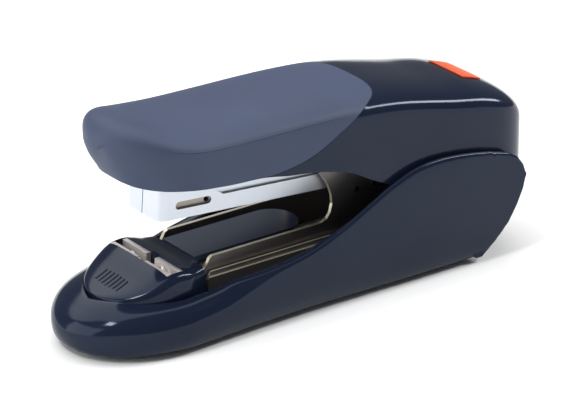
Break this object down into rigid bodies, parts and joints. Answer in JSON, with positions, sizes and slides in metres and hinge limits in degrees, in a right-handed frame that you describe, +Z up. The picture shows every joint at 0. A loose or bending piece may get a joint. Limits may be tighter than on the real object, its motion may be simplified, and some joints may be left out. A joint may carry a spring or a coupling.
{
  "type": "hand stapler",
  "caption": "Hand-held flat-clinch office stapler with a soft grip pad, a spring-fed staple magazine and a tipping clincher.",
  "frame": {"origin": "middle of the length and of the width, on the desk under the rubber feet", "axes": "+X towards the rear pivot (the nose points to -X), +Y to the side, +Z up; the part is symmetric about the XZ plane"},
  "size_m": [0.1131, 0.0346, 0.0488],
  "materials": {
    "gloss_navy": "polished moulded navy plastic",
    "soft_grip": "soft matte blue-grey rubber skin",
    "black_plastic": "matte black moulded plastic",
    "rubber": "non-slip black rubber",
    "dark_steel": "dark oiled steel with bright cut edges",
    "bright_steel": "bright steel",
    "plated_steel": "pale satin nickel plating",
    "chrome": "polished hardened steel",
    "spring_steel": "bright drawn spring wire",
    "badge_orange": "plain orange label"
  },
  "bodies": {
    "base": {"base_shell": "gloss_navy", "bottom_cover": "black_plastic", "front_foot": "rubber", "rear_foot": "rubber", "base_screws": "bright_steel", "base_frame": "dark_steel", "pivot_pin": "bright_steel", "clincher_lifter": "dark_steel", "table_spring": "spring_steel"},
    "table": {"table_frame": "dark_steel", "clinch_cover": "gloss_navy", "table_plate": "gloss_navy", "anvil_front_plate": "chrome", "anvil_rear_plate": "chrome", "table_rivets": "bright_steel", "clincher_pins": "bright_steel", "magazine_spring": "spring_steel"},
    "wing_left": {"clincher_wing_left": "chrome"},
    "wing_right": {"clincher_wing_right": "chrome"},
    "magazine": {"magazine_shell": "plated_steel", "magazine_channel": "plated_steel", "staple_rail": "bright_steel", "pusher_rod": "bright_steel", "rod_stop": "plated_steel", "rod_clip": "bright_steel", "paper_guide": "bright_steel", "pusher_spring": "spring_steel", "handle_spring": "spring_steel"},
    "pusher": {"pusher": "black_plastic"},
    "handle": {"handle_cover": "gloss_navy", "grip_pad": "soft_grip", "handle_frame": "dark_steel", "driver_blade": "bright_steel", "driver_holder": "dark_steel", "driver_rivets": "bright_steel", "handle_screws": "bright_steel", "rear_badge": "badge_orange"}
  },
  "joints": [
    {"name": "table_hinge", "type": "hinge", "parent": "base", "child": "table", "pos_m": [0.0434, 0, 0.0235], "axis": [0, 1, 0], "range_deg": [-1.1, 0], "stiffness_Nm_per_rad": 3, "springref_deg": 1.15, "deforming": ["table_spring"]},
    {"name": "wing_left_hinge", "type": "hinge", "parent": "table", "child": "wing_left", "pos_m": [-0.0356, 0.0056, 0.0124], "axis": [1, 0, 0], "range_deg": [-14.1, 0.1]},
    {"name": "wing_right_hinge", "type": "hinge", "parent": "table", "child": "wing_right", "pos_m": [-0.0356, -0.0056, 0.0124], "axis": [1, 0, 0], "range_deg": [-0.1, 14.1]},
    {"name": "magazine_hinge", "type": "hinge", "parent": "base", "child": "magazine", "pos_m": [0.0434, 0, 0.0235], "axis": [0, 1, 0], "range_deg": [-6.5, 0], "stiffness_Nm_per_rad": 1.2, "springref_deg": 4.58, "deforming": ["magazine_spring"]},
    {"name": "handle_hinge", "type": "hinge", "parent": "magazine", "child": "handle", "pos_m": [0.0434, 0, 0.0235], "axis": [0, 1, 0], "range_deg": [-4.5, 40], "stiffness_Nm_per_rad": 0.8, "springref_deg": 1.15, "deforming": ["handle_spring"]},
    {"name": "pusher_slide", "type": "slide", "parent": "magazine", "child": "pusher", "axis": [0.9973, 0, -0.0732], "range_m": [0, 0.036], "stiffness_N_per_m": 15, "springref_m": -0.03, "deforming": ["pusher_spring"]}
  ],
  "couplings": [
    {"joint": "wing_left_hinge", "follows": "table_hinge", "ratio": 12.7},
    {"joint": "wing_right_hinge", "follows": "table_hinge", "ratio": -12.7}
  ]
}
